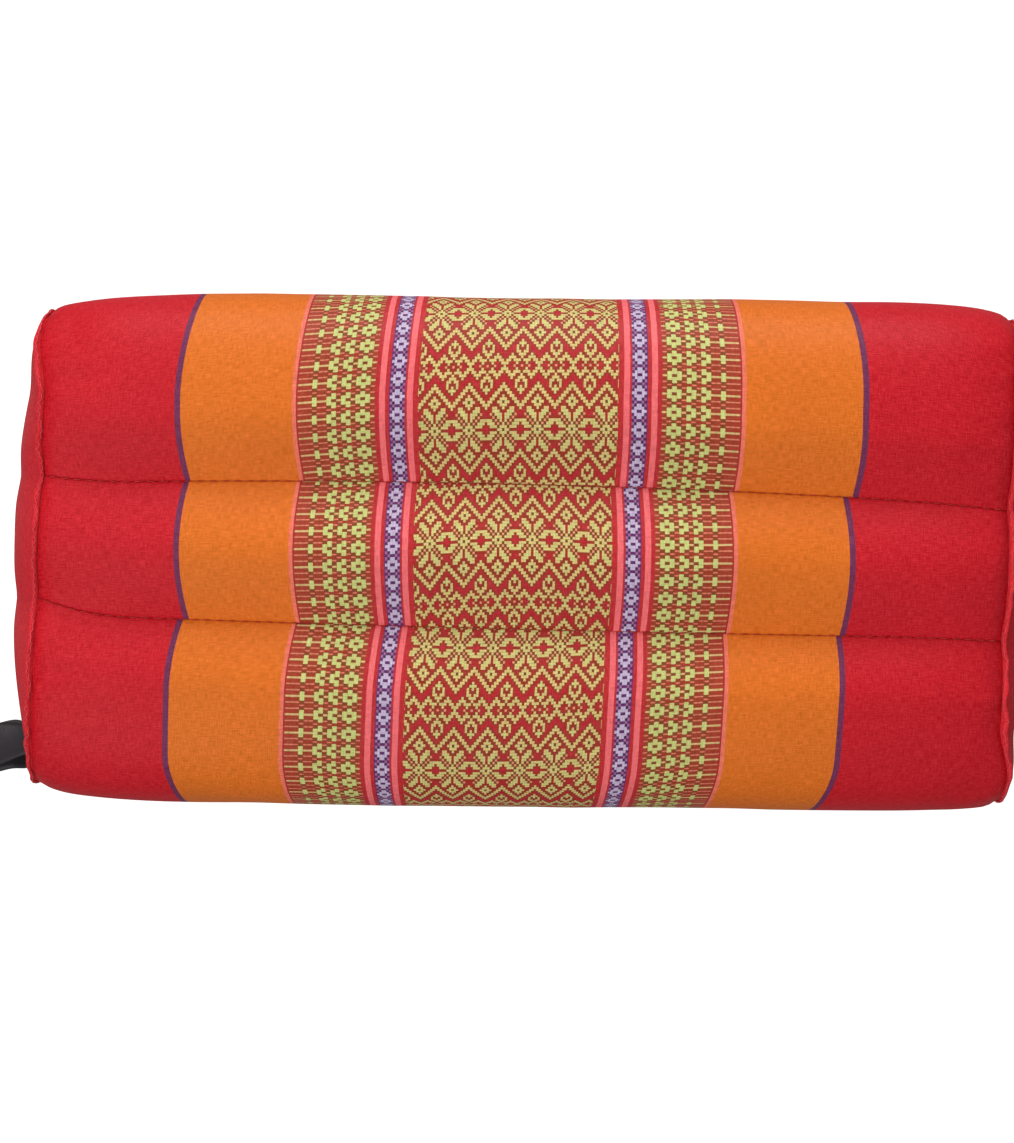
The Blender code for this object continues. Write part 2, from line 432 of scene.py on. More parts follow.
class Graph:
    """Node tree of one material, with a short call for each kind of node in use."""

    NOISE_ROUGHNESS = 0.55
    SHEEN_ROUGHNESS = 0.30

    def __init__(self, name: str) -> None:
        """Start a material with an empty Principled shader.

        Args:
            name: Name of the material.
        """
        self.material = bpy.data.materials.new(name)
        self.material.use_nodes = True
        self.nodes = self.material.node_tree.nodes
        self.links = self.material.node_tree.links
        self.shader = self.nodes["Principled BSDF"]

    def node(self, kind: str, inputs: dict, **settings: object) -> bpy.types.Node:
        """Add one node.

        Args:
            kind: Blender's type name of the node.
            inputs: Values or sockets for its inputs, by index or name.
            **settings: Attributes of the node itself.

        Returns:
            The node.
        """
        made = self.nodes.new(kind)
        for key, value in settings.items():
            setattr(made, key, value)
        for key, value in inputs.items():
            if isinstance(value, Socket):
                self.links.new(value, made.inputs[key])
            else:
                made.inputs[key].default_value = value
        return made

    def math(self, operation: str, *values: Value) -> Socket:
        """One Math node of up to three values or sockets."""
        return self.node("ShaderNodeMath", dict(enumerate(values)), operation=operation).outputs[0]

    def span(self, value: Socket, low: float, high: float) -> Socket:
        """1 where a value lies between two limits, otherwise 0."""
        above = self.math("GREATER_THAN", value, low)
        return self.math("MULTIPLY", above, self.math("LESS_THAN", value, high))

    def steps(self, value: Socket, stops: Sequence[tuple[float, Colour]]) -> bpy.types.Node:
        """Turn a value into one of several colours.

        Args:
            value: Socket from 0 to 1.
            stops: Where each colour starts, and the colour.

        Returns:
            The node; it doesn't blend its colours.
        """
        made = self.node("ShaderNodeValToRGB", {0: value})
        band = made.color_ramp
        band.interpolation = "CONSTANT"
        while len(band.elements) < len(stops):
            band.elements.new(1.0)
        for element, (position, tone) in zip(band.elements, stops):
            element.position = position
            element.color = tone
        return made

    def mix(self, share: Value, first: Tone, second: Tone, mode: str = "MIX") -> Socket:
        """Mix two colours; inputs are sockets or colours."""
        inputs = {0: share, 6: first, 7: second}
        return self.node("ShaderNodeMix", inputs, data_type="RGBA", blend_type=mode).outputs[2]

    def shaded(self, tone: Tone, shade: Socket) -> Socket:
        """A tone darkened or lightened by a shade around 1."""
        return self.mix(1.0, tone, self.combine(shade, shade, shade), "MULTIPLY")

    def noise(self, vector: Socket, scale: float) -> Socket:
        """Noise from 0 to 1 around 0.5, on a vector in metres."""
        inputs = {"Vector": vector, "Scale": scale, "Detail": 2.0, "Roughness": self.NOISE_ROUGHNESS}
        return self.node("ShaderNodeTexNoise", inputs).outputs[0]

    def combine(self, x: Value, y: Value, z: Value = 0.0) -> Socket:
        """A vector of three values or sockets."""
        return self.node("ShaderNodeCombineXYZ", {0: x, 1: y, 2: z}).outputs[0]

    def split(self, vector: Socket) -> tuple[Socket, ...]:
        """The three parts of a vector."""
        return tuple(self.node("ShaderNodeSeparateXYZ", {0: vector}).outputs)

    def cloth_map(self) -> tuple[Socket, ...]:
        """The piece's own cloth map: metres along the weft and along the warp."""
        return self.split(self.node("ShaderNodeUVMap", {}, uv_map=CLOTH_MAP).outputs[0])

    def place(self) -> Socket:
        """Object coordinates."""
        return self.node("ShaderNodeTexCoord", {}).outputs["Object"]

    def relief(self, height: Socket, depth: float) -> None:
        """Raise the surface by a height from 0 to 1 of that depth, in metres."""
        inputs = {"Strength": 1.0, "Distance": depth, "Height": height}
        self.links.new(self.node("ShaderNodeBump", inputs).outputs[0], self.shader.inputs["Normal"])

    def finish(self, tone: Tone, roughness: float, sheen: float, specular: float) -> bpy.types.Material:
        """Feed the shader and return the material.

        Args:
            tone: Colour or socket of the surface.
            roughness: The shader's roughness.
            sheen: Weight of the soft light that cloth gives at a grazing angle.
            specular: Specular level.

        Returns:
            The finished material.
        """
        if isinstance(tone, Socket):
            self.links.new(tone, self.shader.inputs["Base Color"])
        else:
            self.shader.inputs["Base Color"].default_value = tone
        self.shader.inputs["Roughness"].default_value = roughness
        self.shader.inputs["Sheen Weight"].default_value = sheen
        self.shader.inputs["Sheen Roughness"].default_value = self.SHEEN_ROUGHNESS
        self.shader.inputs["Specular IOR Level"].default_value = specular
        return self.material


@dataclass(frozen=True)
class Chart:
    """A weaver's chart of one mirrored motif: '#' is a pattern float, '.' the ground.

    The first and last rows are mirrored, and the first and last columns too where the motif
    repeats across. Lone floats are lower, and lower still in the thin rows.
    """

    rows: tuple[str, ...]
    repeats_across: bool = False
    thin_rows: tuple[int, ...] = ()
    float_height: float = 0.50
    joined_height: float = 0.25
    lone_cut: float = 0.06
    thin_cut: float = 0.10
    float_width: float = 0.53
    joined_width: float = 0.24
    lone_narrowing: float = 0.05
    squareness: float = 4.0
    soft_limits: tuple[float, float] = (0.4, 1.6)

    @property
    def last_row(self) -> int:
        """Number of the last row, counted from 0."""
        return len(self.rows) - 1

    @property
    def last_column(self) -> int:
        """Number of the last column, counted from 0."""
        return len(self.rows[0]) - 1

    def on(self, row: int, column: int) -> bool:
        """Whether a cell, or its mirror image past an edge, is a float.

        Args:
            row: Row of the cell, up to one past the chart.
            column: Column of the cell, likewise.

        Returns:
            True for a float; past an edge that doesn't mirror there is only ground.
        """
        row = abs(row) if row <= self.last_row else 2 * self.last_row - row
        if self.repeats_across:
            column = abs(column) if column <= self.last_column else 2 * self.last_column - column
        elif not 0 <= column <= self.last_column:
            return False
        return self.rows[row][column] == "#"

    def layers(self, row: int) -> tuple[float, ...]:
        """One row as four binary fractions.

        Args:
            row: Row of the chart.

        Returns:
            The cells that are floats, those joined along the warp, those joined across, and lone floats.
            A float is joined where floats lie on both sides, and a ground cell where one lies on either.
            Where there are thin rows, a lone float is one with none above or below it. The last value
            also marks a hole, which is ground with a float on all four sides.
        """
        codes = [0, 0, 0, 0]
        for column in range(len(self.rows[0])):
            is_float = self.on(row, column)
            along = (self.on(row - 1, column), self.on(row + 1, column))
            across = (self.on(row, column - 1), self.on(row, column + 1))
            joined = all if is_float else any
            lone = not any(along if self.thin_rows else along + across) if is_float else all(along + across)
            for layer, is_set in enumerate((is_float, joined(along), joined(across), lone)):
                codes[layer] += int(is_set) << column
        return tuple(code / CODE_SIZE for code in codes)

    def look_up(self, graph: Graph, row: Socket, column: Socket) -> list[Socket]:
        """Look a cell up in the chart.

        Args:
            graph: Material to add the nodes to.
            row: Socket with the cell's row.
            column: Socket with the cell's column.

        Returns:
            The cell's four values from layers(), as 1 or 0.
        """
        count = len(self.rows)
        stops = [(index / count, self.layers(index)) for index in range(count)]
        codes = graph.steps(graph.math("MULTIPLY_ADD", row, 1.0 / count, 0.5 / count), stops)
        channels = graph.node("ShaderNodeSeparateColor", {0: codes.outputs[0]}).outputs
        weight = graph.math("DIVIDE", CODE_SIZE, graph.math("POWER", 2.0, column))
        bits = []
        for channel in (*channels[:3], codes.outputs[1]):
            shifted = graph.math("FLOOR", graph.math("MULTIPLY_ADD", channel, weight, CODE_MARGIN))
            bits.append(graph.math("FLOORED_MODULO", shifted, 2.0))
        return bits

    def thin(self, graph: Graph, row: Socket) -> Value:
        """1 in a thin row, otherwise 0; the plain number 0 for a chart without them."""
        return graph.math("GREATER_THAN", row, min(self.thin_rows) - 0.5) if self.thin_rows else 0.0

    def cover(self, graph: Graph, bits: Sequence[Socket], spot: Sequence[Socket], thin: Value) -> Socket:
        """How much of a spot in a cell the float covers, from 0 to 1.

        Args:
            graph: Material to add the nodes to.
            bits: The four values from look_up().
            spot: Sockets with the distance from the cell's middle, across and along, in cells.
            thin: Socket or value from thin().

        Returns:
            The share; a float has rounded ends wherever no other float joins it.
        """
        is_float, joined_along, joined_across, lone = bits
        reach_along = graph.math("MULTIPLY_ADD", joined_along, self.joined_height, self.float_height)
        cut = graph.math("MULTIPLY_ADD", thin, -self.thin_cut, -self.lone_cut)
        reach_along = graph.math("MULTIPLY_ADD", lone, cut, reach_along)
        reach_across = graph.math("MULTIPLY_ADD", joined_across, self.joined_width, self.float_width)
        reach_across = graph.math("MULTIPLY_ADD", lone, -self.lone_narrowing, reach_across)
        parts = []
        for distance, reach in zip(spot, (reach_across, reach_along)):
            part = graph.math("DIVIDE", graph.math("ABSOLUTE", distance), reach)
            parts.append(graph.math("POWER", part, self.squareness))
        full, bare = self.soft_limits
        inputs = {"Value": graph.math("ADD", *parts), 1: bare, 2: full, 3: 0.0, 4: 1.0}
        soft = graph.node("ShaderNodeMapRange", inputs, interpolation_type="SMOOTHSTEP").outputs[0]
        return graph.math("MULTIPLY", is_float, soft)


STAR_CHART = Chart((
    "#...#..#",
    "##...#..",
    ".##.###.",
    "..###..#",
    "...#..##",
    ".....##.",
    "#....#..",
    "##...#.#",
    ".##...##",
    "..##...#",
    "#..##...",
    "##..##..",
    ".##..##.",
    "##....##",
    "#..##..#",
    "..###...",
    ".###.#..",
    ".##.#...",
    ".#.#.###",
    "#.#.###.",
    "##.###..",
    ".##.....",
), repeats_across=True)

ROSETTE_CHART = Chart((
    "##.##.##.#######",
    ".###.##.##..#...",
    "#.#.##.##.##.###",
    ".#.#..#..#..#...",
), thin_rows=(2, 3), float_height=0.60, lone_cut=0.24)

FLOWER_CHART = Chart((
    ".##",
    "##.",
    "#.#",
    ".#.",
), float_height=0.62)


@dataclass(frozen=True)
class Yarns:
    """Tones of one figured band, by what lies beside a cell of its chart; ground near floats has painted
    shade.
    """

    ground: tuple[ScreenColour, ...]
    floats: tuple[ScreenColour, ...]
    rim: ScreenColour

    def _pick(self, graph: Graph, bits: Sequence[Socket], tones: Sequence[ScreenColour]) -> Socket:
        """Pick one of four tones: joined on neither side, along the warp, across, both.

        Args:
            graph: Material to add the nodes to.
            bits: The cell's four values from Chart.look_up().
            tones: The four tones, in that order.

        Returns:
            The tone.
        """
        apart = graph.mix(bits[1], colour(*tones[0]), colour(*tones[1]))
        joined = graph.mix(bits[1], colour(*tones[2]), colour(*tones[3]))
        return graph.mix(bits[2], apart, joined)

    def woven(self, graph: Graph, bits: Sequence[Socket], cover: Socket, thin: Value) -> Socket:
        """The cloth's tone at a spot.

        Args:
            graph: Material to add the nodes to.
            bits: The cell's four values from Chart.look_up().
            cover: Socket from Chart.cover().
            thin: Socket or value from Chart.thin().

        Returns:
            The tone; the fifth ground tone lies under a float and the sixth in a hole. Ground tones after
            the first are painted shade cast by the raised floats on the ground beside, under and between
            them. The fifth and sixth float tones are those of lone floats, in thin rows the sixth.
        """
        lone = colour(*self.floats[4])
        if thin:
            lone = graph.mix(thin, lone, colour(*self.floats[5]))
        above = graph.mix(bits[3], self._pick(graph, bits, self.floats), lone)
        above = graph.mix(graph.math("MAXIMUM", cover, bits[3]), colour(*self.rim), above)
        # ground beside, under and between floats takes painted shade cast by the raised floats
        ground_with_shade = graph.mix(bits[3], self._pick(graph, bits, self.ground), colour(*self.ground[5]))
        under = graph.mix(bits[0], ground_with_shade, colour(*self.ground[4]))
        return graph.mix(cover, under, above)


@dataclass(frozen=True)
class PlainWeave:
    """Threads, fibres and fading that every plain cotton cloth shows, the threads' relief also as painted
    shade.
    """

    checks_painted_shade: float
    fading: float
    thread: float = 0.46 * MM
    fibre_scale: float = 2600.0
    fibre_stretch: float = 0.12
    grain_depth: float = 0.68
    fleck_from: float = 0.86
    fleck_share: float = 0.04

    def _checks(self, graph: Graph, across: Socket, along: Socket) -> Socket:
        """Threads from -1 to 1, each over and under the next."""
        waves = [graph.math("MULTIPLY", run, math.pi / self.thread) for run in (across, along)]
        return graph.math("MULTIPLY", *(graph.math("SINE", wave) for wave in waves))

    def lay(self, graph: Graph, tone: Tone, spot: Sequence[Value], faded: Socket) -> tuple[Socket, ...]:
        """Lay the weave over a tone.

        Args:
            graph: Material to add the nodes to.
            tone: The cloth's own tone.
            spot: Metres across and along the threads, and through the cloth.
            faded: Slow noise from 0 to 1 by which the cloth has faded.

        Returns:
            The tone with the weave's grain and painted shade and white flecks, the slubs from 0 to 1, and
            the checks.
        """
        across, along, through = spot
        stretched = graph.math("MULTIPLY", across, self.fibre_stretch)
        slubs = graph.noise(graph.combine(stretched, along, through), self.fibre_scale)
        stretched = graph.math("MULTIPLY", along, self.fibre_stretch)
        ribs = graph.noise(graph.combine(across, stretched, through), self.fibre_scale)
        checks = self._checks(graph, across, along)
        grain = graph.math("ADD", slubs, ribs)
        mottle = graph.math("MULTIPLY_ADD", grain, self.grain_depth, 1.0 - self.grain_depth)
        # the checks lighten and darken the tone at each crossing of the threads: painted light and shade of
        # the weave's relief
        mottle = graph.math("MULTIPLY_ADD", checks, self.checks_painted_shade, mottle)
        fade = graph.math("MULTIPLY_ADD", faded, self.fading, 1.0 - self.fading / 2.0)
        tone = graph.shaded(tone, graph.math("MULTIPLY", mottle, fade))
        # white flecks where the fibre noise runs highest
        fleck = graph.math("MAXIMUM", graph.math("SUBTRACT", grain, self.fleck_from), 0.0)
        return graph.mix(graph.math("MULTIPLY", fleck, self.fleck_share), tone, WHITE), slubs, checks


@dataclass(frozen=True)
class FiguredCotton:
    """Cover cloth: warp stripes in reds, orange and violet, with three kinds of figured band."""

    weave: PlainWeave = PlainWeave(checks_painted_shade=0.15, fading=0.16)
    column: float = 0.820 * MM
    row: float = 1.040 * MM
    side_column: float = 1.624 * MM
    flower_column: float = 0.833 * MM
    centre_half: float = 33.4 * MM
    first_star: float = 6.0
    side_inner: float = 47.9 * MM
    side_outer: float = 73.9 * MM
    flower_inner: float = 37.9 * MM
    flower_centre: float = 40.4 * MM
    flower_outer: float = 42.9 * MM
    half_span: float = 170.0 * MM
    fading_scale: float = 30.0
    float_relief: float = 0.8
    checks_relief: float = 0.12
    relief_depth: float = 0.14 * MM
    roughness: float = 0.48
    sheen: float = 0.06
    specular: float = 0.15

    STRIPES = (
        # outer edge of the stripe in mm from the cloth's centre line, and its colour
        (35.0, (190, 38, 42)),
        (36.6, (243, 108, 112)),
        (37.9, (184, 40, 48)),
        (42.9, (92, 42, 104)),
        (44.4, (188, 38, 44)),
        (46.1, (243, 110, 112)),
        (47.9, (188, 38, 44)),
        (73.9, (172, 38, 38)),
        (75.7, (234, 116, 94)),
        (113.0, (222, 110, 22)),
        (115.2, (112, 42, 82)),
        (170.0, (198, 12, 30)),
    )
    # ground tones: the cloth's own, then painted shade beside a float along, across and both ways, under a
    # float and in a hole
    STAR_YARNS = Yarns(
        ((186, 32, 42), (160, 46, 32), (170, 42, 36), (146, 54, 28), (152, 64, 32), (122, 68, 26)),
        ((222, 196, 124), (212, 204, 128), (214, 198, 122), (203, 210, 126), (236, 152, 112)),
        (214, 168, 100),
    )
    SIDE_YARNS = Yarns(
        ((180, 32, 40), (166, 56, 34), (174, 42, 38), (158, 58, 32), (152, 66, 32), (134, 66, 28)),
        ((204, 206, 124), (198, 206, 122), (202, 202, 122), (200, 208, 126), (218, 180, 120),
         (226, 124, 98)),
        (220, 180, 112),
    )
    PETAL_YARNS = Yarns(
        ((98, 48, 110), (98, 46, 102), (94, 46, 104), (92, 44, 100), (98, 54, 104), (60, 42, 82)),
        ((200, 180, 208), (204, 190, 212), (204, 190, 212), (208, 196, 214), (172, 104, 150)),
        (172, 138, 188),
    )

    def _stripes(self, graph: Graph, away: Socket) -> Socket:
        """Plain stripes by distance from the cloth's centre line.

        Args:
            graph: Material to add the nodes to.
            away: Metres from the cloth's centre line.

        Returns:
            The stripe's tone.
        """
        stops = []
        start = 0.0
        for edge, tone in self.STRIPES:
            stops.append((start * MM / self.half_span, colour(*tone)))
            start = edge
        return graph.steps(graph.math("DIVIDE", away, self.half_span), stops).outputs[0]

    def _bands(self, graph: Graph, u: Socket, away: Socket, pick: Socket) -> tuple[tuple, ...]:
        """Lay the figured bands out on the cloth.

        Args:
            graph: Material to add the nodes to.
            u: Metres from the cloth's centre line.
            away: The same without its sign.
            pick: Number of the weft thread.

        Returns:
            For each kind of band its chart, its yarns, the chart's row and column, the place across in
            columns, and the band's inner and outer edge.
        """
        star_rows = float(STAR_CHART.last_row)
        star_row = graph.math("PINGPONG", graph.math("ADD", pick, star_rows), star_rows)
        small_row = graph.math("PINGPONG", pick, float(ROSETTE_CHART.last_row))
        warp = graph.math("MULTIPLY_ADD", u, 1.0 / self.column, 0.5)
        star = graph.math("ADD", graph.math("FLOOR", warp), self.first_star)
        star_column = graph.math("PINGPONG", star, float(STAR_CHART.last_column))
        pair = graph.math("DIVIDE", graph.math("SUBTRACT", away, self.side_inner), self.side_column)
        rosette = graph.math("MAXIMUM", graph.math("FLOOR", pair), 0.0)
        side_column = graph.math("MINIMUM", rosette, float(ROSETTE_CHART.last_column))
        from_flower = graph.math("ABSOLUTE", graph.math("SUBTRACT", away, self.flower_centre))
        petal = graph.math("DIVIDE", from_flower, self.flower_column)
        flower_column = graph.math("MINIMUM", graph.math("FLOOR", petal), float(FLOWER_CHART.last_column))
        return (
            (STAR_CHART, self.STAR_YARNS, star_row, star_column, warp, (-1.0, self.centre_half)),
            (ROSETTE_CHART, self.SIDE_YARNS, small_row, side_column, pair,
             (self.side_inner, self.side_outer)),
            (FLOWER_CHART, self.PETAL_YARNS, small_row, flower_column, petal,
             (self.flower_inner, self.flower_outer)),
        )

    def material(self) -> bpy.types.Material:
        """Build the finish.

        Returns:
            The finished material.
        """
        graph = Graph("Figured cotton")
        u, v, _ = graph.cloth_map()
        away = graph.math("ABSOLUTE", u)
        weft = graph.math("MULTIPLY_ADD", v, 1.0 / self.row, 0.5)
        in_pick = graph.math("SUBTRACT", graph.math("FRACT", weft), 0.5)
        tone = self._stripes(graph, away)
        raised = None
        bands = self._bands(graph, u, away, graph.math("FLOOR", weft))
        for chart, yarns, row, column, cell, (inner, outer) in bands:
            bits = chart.look_up(graph, row, column)
            thin = chart.thin(graph, row)
            spot = (graph.math("SUBTRACT", graph.math("FRACT", cell), 0.5), in_pick)
            cover = chart.cover(graph, bits, spot, thin)
            inside = graph.span(away, inner, outer)
            tone = graph.mix(inside, tone, yarns.woven(graph, bits, cover, thin))
            lifted = graph.math("MULTIPLY", inside, cover)
            raised = lifted if raised is None else graph.math("ADD", raised, lifted)
        faded = graph.noise(graph.combine(u, v), self.fading_scale)
        tone, slubs, checks = self.weave.lay(graph, tone, (u, v, 0.0), faded)
        height = graph.math("MULTIPLY_ADD", checks, self.checks_relief, slubs)
        graph.relief(graph.math("MULTIPLY_ADD", raised, self.float_relief, height), self.relief_depth)
        return graph.finish(tone, self.roughness, self.sheen, self.specular)


@dataclass(frozen=True)
class PlainCotton:
    """Plain red cloth of the end panels and seam edges, with its threads across and up the ends."""

    weave: PlainWeave = PlainWeave(checks_painted_shade=0.12, fading=0.20)
    tone: ScreenColour = (215, 41, 51)
    fading_scale: float = 34.0
    checks_relief: float = 0.2
    relief_depth: float = 0.12 * MM
    roughness: float = 0.86
    sheen: float = 0.06
    specular: float = 0.04

    def material(self) -> bpy.types.Material:
        """Build the finish.

        Returns:
            The finished material.
        """
        graph = Graph("Red cotton")
        place = graph.place()
        x, y, z = graph.split(place)
        faded = graph.noise(place, self.fading_scale)
        tone, slubs, checks = self.weave.lay(graph, colour(*self.tone), (y, z, x), faded)
        graph.relief(graph.math("MULTIPLY_ADD", checks, self.checks_relief, slubs), self.relief_depth)
        return graph.finish(tone, self.roughness, self.sheen, self.specular)


@dataclass(frozen=True)
class SatinRibbon:
    """Black woven ribbon with fine ribs across it."""

    tone: ScreenColour = (44, 41, 46)
    rib: float = 0.5 * MM
    grain_scale: float = 2400.0
    grain_stretch: float = 0.2
    relief_depth: float = 0.05 * MM

    def material(self) -> bpy.types.Material:
        """Build the finish.

        Returns:
            The finished material.
        """
        graph = Graph("Black ribbon")
        u, v, _ = graph.cloth_map()
        ribs = graph.math("SINE", graph.math("MULTIPLY", u, 2.0 * math.pi / self.rib))
        stretched = graph.combine(u, graph.math("MULTIPLY", v, self.grain_stretch))
        grain = graph.noise(stretched, self.grain_scale)
        tone = graph.shaded(colour(*self.tone), graph.math("MULTIPLY_ADD", grain, 0.5, 0.75))
        graph.relief(graph.math("MULTIPLY_ADD", ribs, 0.4, 0.5), self.relief_depth)
        return graph.finish(tone, roughness=0.5, sheen=0.1, specular=0.4)


@dataclass(frozen=True)
class SewingThread:
    """Twisted sewing thread of one colour."""

    name: str
    tone: ScreenColour
    twist: float = 0.7 * MM
    relief_depth: float = 0.06 * MM

    def material(self) -> bpy.types.Material:
        """Build the finish.

        Returns:
            The finished material.
        """
        graph = Graph(self.name)
        x, y, z = graph.split(graph.place())
        along = graph.math("ADD", graph.math("ADD", x, y), z)
        ply = graph.math("SINE", graph.math("MULTIPLY", along, 2.0 * math.pi / self.twist))
        # the tone lightens and darkens along the twist: painted light and shade of the plies' relief
        tone = graph.shaded(colour(*self.tone), graph.math("MULTIPLY_ADD", ply, 0.12, 0.95))
        graph.relief(graph.math("MULTIPLY_ADD", ply, 0.5, 0.5), self.relief_depth)
        return graph.finish(tone, roughness=0.6, sheen=0.1, specular=0.3)


def add_piece(mesh_data: bmesh.types.BMesh, name: str, material: bpy.types.Material) -> bpy.types.Object:
    """Turn a bmesh into a smooth, finished object at the origin.

    Args:
        mesh_data: The shape, which is freed.
        name: Name of the piece.
        material: Its finish.

    Returns:
        The object, linked to the scene.
    """
    mesh = bpy.data.meshes.new(name)
    mesh_data.to_mesh(mesh)
    mesh_data.free()
    mesh.materials.append(material)
    mesh.shade_smooth()
    piece = bpy.data.objects.new(name, mesh)
    bpy.context.scene.collection.objects.link(piece)
    return piece


def settle(piece: bpy.types.Object, slot: str, *nodes: str) -> None:
    """Ride a piece on the cushion and hide the CAD nodes that it stands for.

    Args:
        piece: The finished piece.
        slot: Not used.
        *nodes: Names of the nodes, if any.
    """
    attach(piece, "root")
    if nodes:
        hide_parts(*nodes)


def report(piece: bpy.types.Object) -> None:
    """Log a finished piece."""
    LOG.info("%s: %d faces", piece.name, len(piece.data.polygons))


def add_wall(piece: bpy.types.Object, thickness: float, offset: float) -> None:
    """Give a sheet its thickness.

    Args:
        piece: The sheet.
        thickness: Its thickness in metres.
        offset: -1 for all of it inside, 0 for half of it on each side.
    """
    wall = piece.modifiers.new("Thickness", "SOLIDIFY")
    wall.thickness = thickness
    wall.offset = offset


def shaped_grid(steps: tuple[int, int], place: Place, closed: bool) -> bmesh.types.BMesh:
    """A grid whose points are moved onto a surface, with edges that meet welded.

    Args:
        steps: Faces along the first and the second direction.
        place: Gives the point for two shares from 0 to 1.
        closed: Whether the surface closes on itself, so that its faces can be turned outwards.

    Returns:
        The shape.
    """
    shape = bmesh.new()
    bmesh.ops.create_grid(shape, x_segments=steps[0], y_segments=steps[1], size=1.0)
    for vertex in shape.verts:
        vertex.co = place((vertex.co.x + 1.0) / 2.0, (vertex.co.y + 1.0) / 2.0)
    bmesh.ops.remove_doubles(shape, verts=shape.verts, dist=1e-6)
    if closed:
        bmesh.ops.recalc_face_normals(shape, faces=shape.faces)
    return shape


class Channel(Enum):
    """The cushion's three stuffed channels, by the side of the stitched lines that they lie on."""

    FRONT = -1
    MIDDLE = 0
    BACK = 1


class Strip(Enum):
    """The sides of the unit box that a channel is shaped from."""

    TOP = "top"
    UNDER = "under"
    SIDE = "long side"
    WALL = "wall between channels"
    END = "end"


@dataclass
class StuffedChannel:
    """One channel of the cover with its filling: a closed form with cloth round it."""

    form: CushionForm
    girth: Girth
    channel: Channel
    length_cuts: int = 180
    cross_cuts: int = 30
    height_cuts: int = 40
    middle_height_cuts: int = 8
    set_back: float = 0.0008
    wall_gap: float = 0.00004
    line_crowding: float = 1.6
    cloth_offset: float = -0.0033
    cloth_lean: float = 0.036
    cloth_pull: float = 0.032
    right_cloth_pull: float = 0.024
    cloth_stretch: float = 0.9935
    cloth_narrowing: float = -0.10
    end_slack: float = 0.7
    weft_tilt: float = 0.021
    weft_turn: float = 0.0115
    weft_bow: float = 0.47
    front_unbow: float = 1.5
    front_unbow_reach: float = 0.11
    middle_bow: float = 0.0027
    middle_bow_reach: float = 0.034
    middle_jog: float = -0.0002
    middle_jog_lean: float = 0.035
    star_row_at: float = 0.00435
    back_edge_from: float = 0.050
    front_edge_from: float = 0.070
    edge_pull: float = 0.055
    pucker_depth: float = 0.00030
    line_pucker_from: float = 0.0012
    line_pucker_reach: float = 0.009
    end_pucker_share: float = 4.0
    end_pucker_from: float = 0.0015
    end_pucker_reach: float = 0.020
    swell_depth: float = 0.00070
    swell_size: float = 0.052
    fine_swell_share: float = 0.3
    fine_swell_size: float = 0.019
    still_line: float = 0.006
    still_end: float = 0.004
    still_floor: float = 0.004
    floor_pucker_from: float = 0.002
    figured_reach: float = 0.0765
    figured_share: float = 0.43
    bake_half: float = 0.49
    end_row_height: float = 0.016

    DENTS = (
        # middle along X and across, half width along X and across, depth
        (0.1620, 0.0668, 0.0055, 0.0022, 0.0015),
        (-0.1545, 0.0735, 0.0050, 0.0060, 0.0007),
        (-0.1500, 0.0560, 0.0080, 0.0035, 0.0005),
        (-0.1540, -0.0420, 0.0070, 0.0030, 0.0005),
        (0.1560, -0.0690, 0.0060, 0.0040, 0.0006),
        (0.1530, 0.0330, 0.0080, 0.0030, 0.0005),
    )
    FAR_PULLS = {
        # how much the cloth is drawn in towards its centre line far out, at the -X and the +X end
        Channel.FRONT: (0.3, 0.4),
        Channel.MIDDLE: (1.1, 0.2),
        Channel.BACK: (0.5, -1.1),
    }
    JOGS = {
        # how far along X the cloth lies well away from the line, how much more at it, and its reach
        Channel.FRONT: (-0.00087, 0.00054, 0.022),
        Channel.BACK: (-0.00094, 0.00121, 0.030),
    }
    # size of the puckers along X, across and up, beside the stitched lines and beside the end seams
    LINE_PUCKER_SIZE = (0.0062, 0.030, 0.030)
    END_PUCKER_SIZE = (0.030, 0.010, 0.010)
    SWELL_SHIFT = (3.1, 7.7, 1.3)
    # start and height of each strip's rows on the bake sheet; the -X and the +X end have starts alone
    OUTER_ROWS = {
        Strip.TOP: (0.01, 0.30),
        Strip.SIDE: (0.32, 0.32),
        Strip.UNDER: (0.65, 0.27),
        Strip.WALL: (0.925, 0.03),
    }
    MIDDLE_ROWS = {
        Strip.TOP: (0.01, 0.46),
        Strip.SIDE: (0.925, 0.012),
        Strip.UNDER: (0.48, 0.43),
        Strip.WALL: (0.94, 0.012),
    }
    END_ROWS = (0.962, 0.980)

    def _cage(self) -> bmesh.types.BMesh:
        """A two-unit cube, cut evenly along each axis.

        Returns:
            The cube, with its faces in a grid on each side.
        """
        heights = self.middle_height_cuts if self.channel is Channel.MIDDLE else self.height_cuts
        cage = bmesh.new()
        bmesh.ops.create_cube(cage, size=2.0)
        for axis, cuts in enumerate((self.length_cuts, self.cross_cuts, heights)):
            spans = {edge: edge.verts[0].co[axis] - edge.verts[1].co[axis] for edge in cage.edges}
            run = [edge for edge, span in spans.items() if abs(span) > 1e-6]
            bmesh.ops.subdivide_edges(cage, edges=run, cuts=cuts, use_grid_fill=True)
        return cage

    def _cross(self, share: float) -> float:
        """Share across the whole block for a share across this channel, crowded at the lines.

        Args:
            share: Share across this channel, from -1 to 1.

        Returns:
            The share across the block.
        """
        part = self.form.line_share
        if self.channel is Channel.MIDDLE:
            return math.copysign(part * (1.0 - (1.0 - abs(share)) ** self.line_crowding), share)
        away = (1.0 + share * self.channel.value) / 2.0
        return self.channel.value * (part + (1.0 - part) * away ** self.line_crowding)

